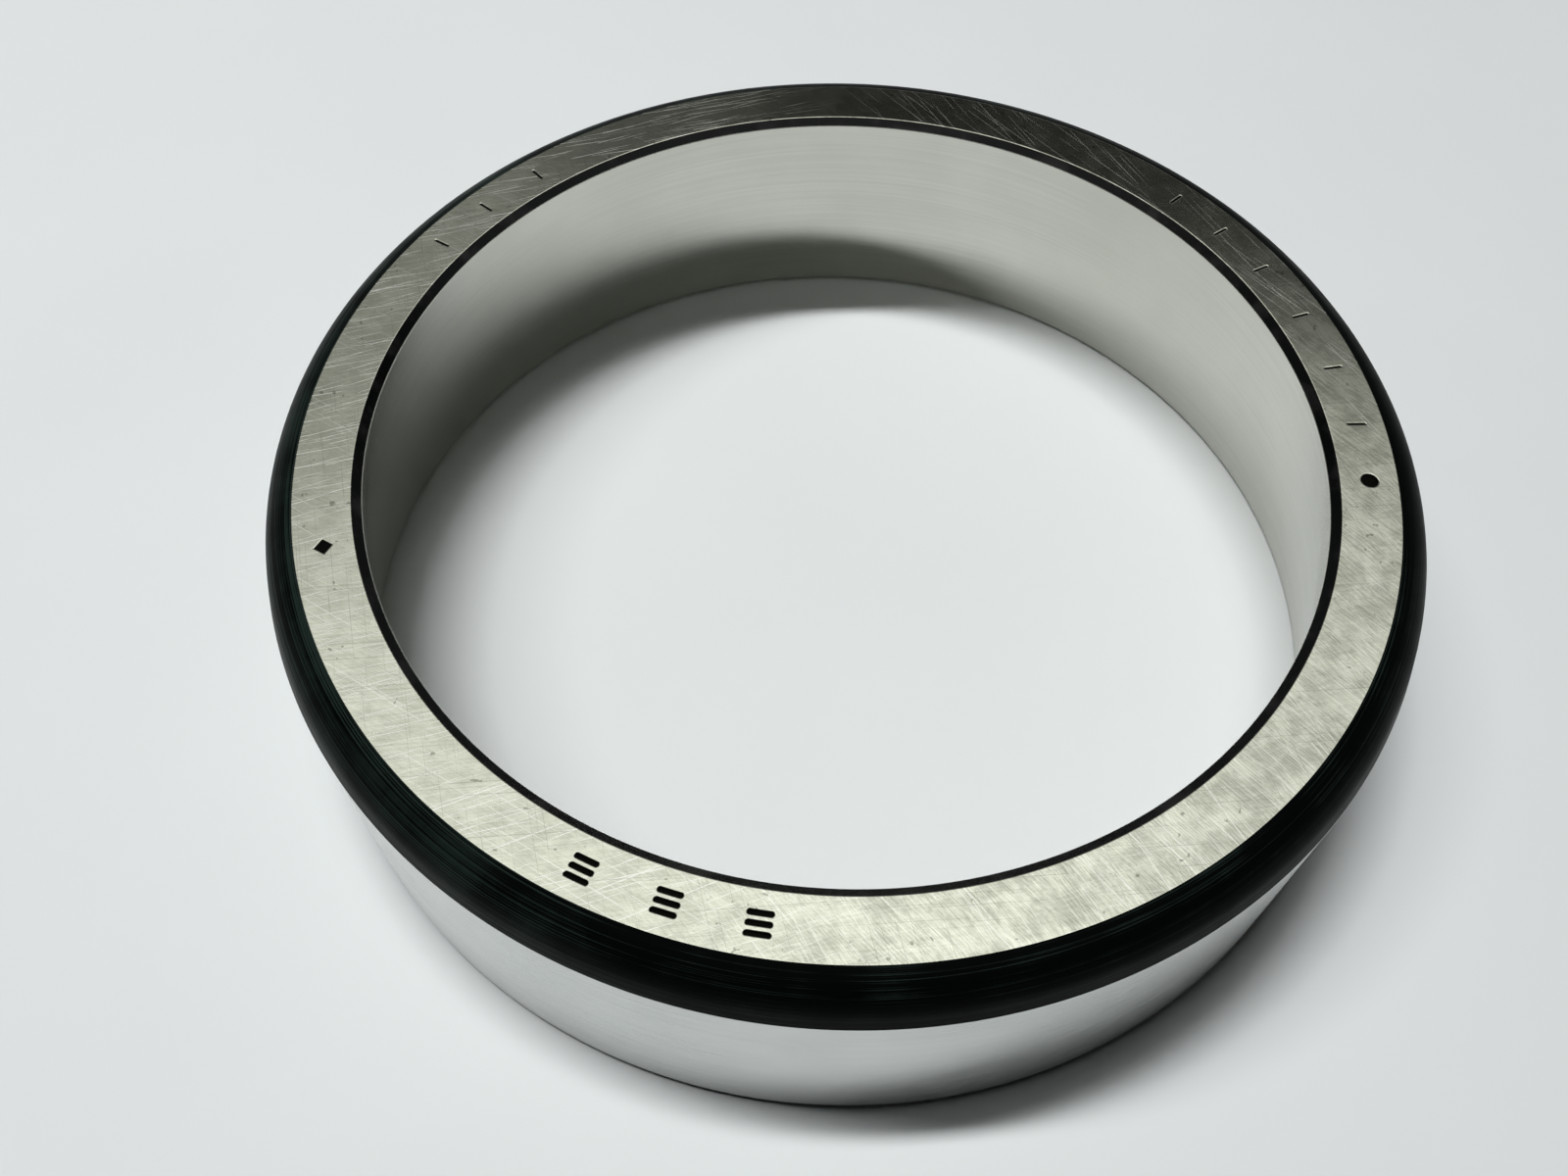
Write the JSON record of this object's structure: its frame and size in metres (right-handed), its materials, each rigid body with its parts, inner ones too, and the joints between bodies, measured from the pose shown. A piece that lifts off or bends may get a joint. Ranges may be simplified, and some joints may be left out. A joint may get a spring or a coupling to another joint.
{
  "type": "tapered roller bearing cup",
  "caption": "Separable outer ring of a tapered roller bearing: hardened steel, ground outside and faces, blackened turned corners, conical raceway inside.",
  "frame": {"origin": "centre of the thin front face, on the bearing axis, where the ring rests on a surface", "axes": "+Z along the bearing axis, towards the thick stamped back face; -Y towards the bold stamped bars"},
  "size_m": [0.1016, 0.1016, 0.027],
  "materials": {
    "bearing_steel": "ground and honed bearing steel, with black heat-treatment scale left on the turned corners"
  },
  "bodies": {
    "root": {"bearing_cup": "bearing_steel"}
  },
  "joints": []
}
